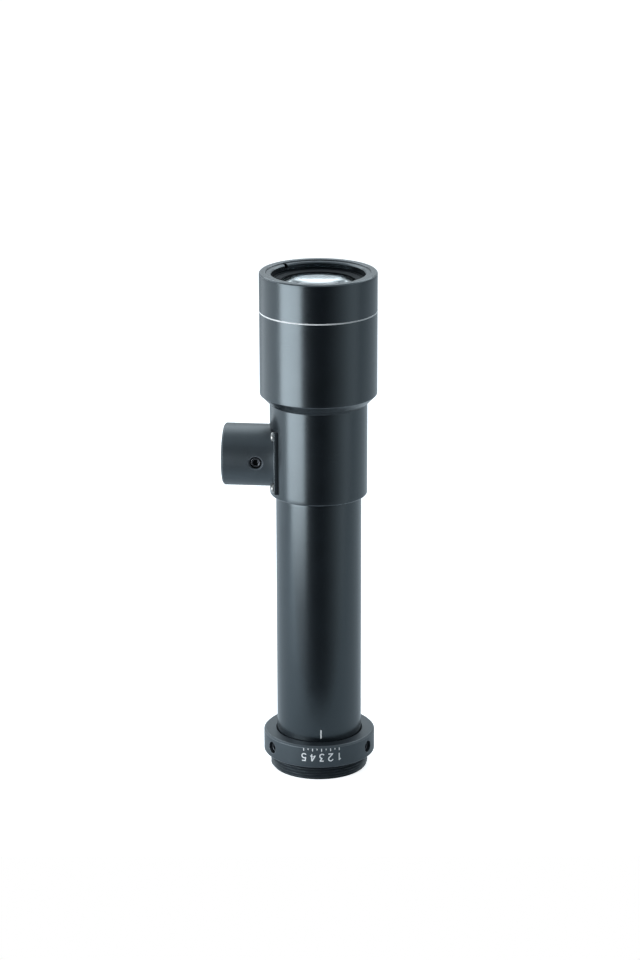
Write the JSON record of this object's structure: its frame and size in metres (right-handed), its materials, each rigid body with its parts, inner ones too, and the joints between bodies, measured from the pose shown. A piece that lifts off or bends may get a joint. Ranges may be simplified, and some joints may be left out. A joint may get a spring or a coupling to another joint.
{
  "type": "telecentric lens",
  "caption": "Long slim machine-vision lens that screws into a camera by its rear thread, with a side port for coaxial light.",
  "frame": {"origin": "centre of the camera flange's face, where the lens seats on the camera", "axes": "+Z along the optical axis to the front lens, -X along the light port's axis, outwards"},
  "size_m": [0.0393, 0.03, 0.133],
  "materials": {
    "black_anodised": "satin black anodised",
    "inner_black": "matt black anodised",
    "screw_steel": "black oxide",
    "optical_glass": "coated optical glass",
    "stop_foil": "blackened"
  },
  "bodies": {
    "lens_body": {"main_tube": "black_anodised", "rear_baffle": "inner_black", "rear_lens_cell": "inner_black", "rear_flint_lens": "optical_glass", "rear_crown_lens": "optical_glass", "rear_retaining_ring": "inner_black", "rear_cell_lock_ring": "inner_black", "splitter_body": "black_anodised", "aperture_stop": "stop_foil", "stop_retaining_ring": "inner_black", "prism_holder": "inner_black", "splitter_prism_lower": "optical_glass", "splitter_prism_upper": "optical_glass", "prism_lock_ring": "inner_black", "light_port": "black_anodised", "port_flange_screws": "screw_steel", "condenser_lens": "optical_glass", "condenser_ring": "inner_black", "front_barrel": "black_anodised", "objective_cell": "inner_black", "objective_back_lens": "optical_glass", "objective_spacer": "inner_black", "objective_flint_lens": "optical_glass", "objective_crown_lens": "optical_glass", "front_retaining_ring": "inner_black", "front_lock_ring": "black_anodised"},
    "camera_ring": {"mount_ring": "black_anodised"},
    "mount_screw_1": {"mount_screw_1": "screw_steel"},
    "mount_screw_2": {"mount_screw_2": "screw_steel"},
    "mount_screw_3": {"mount_screw_3": "screw_steel"},
    "port_clamp_screw": {"port_clamp_screw": "screw_steel"}
  },
  "joints": [
    {"name": "ring_turn", "type": "hinge", "parent": "lens_body", "child": "camera_ring", "pos_m": [0, 0, 0], "axis": [0, 0, 1], "continuous": true},
    {"name": "mount_screw_1_travel", "type": "slide", "parent": "camera_ring", "child": "mount_screw_1", "axis": [0.9249, -0.3803, 0], "range_m": [0, 0.00075]},
    {"name": "mount_screw_2_travel", "type": "slide", "parent": "camera_ring", "child": "mount_screw_2", "axis": [-0.1331, 0.9911, 0], "range_m": [0, 0.00075]},
    {"name": "mount_screw_3_travel", "type": "slide", "parent": "camera_ring", "child": "mount_screw_3", "axis": [-0.7918, -0.6108, 0], "range_m": [0, 0.00075]},
    {"name": "port_clamp_travel", "type": "slide", "parent": "lens_body", "child": "port_clamp_screw", "axis": [0, -1, 0], "range_m": [-0.0015, 0.0007]}
  ]
}
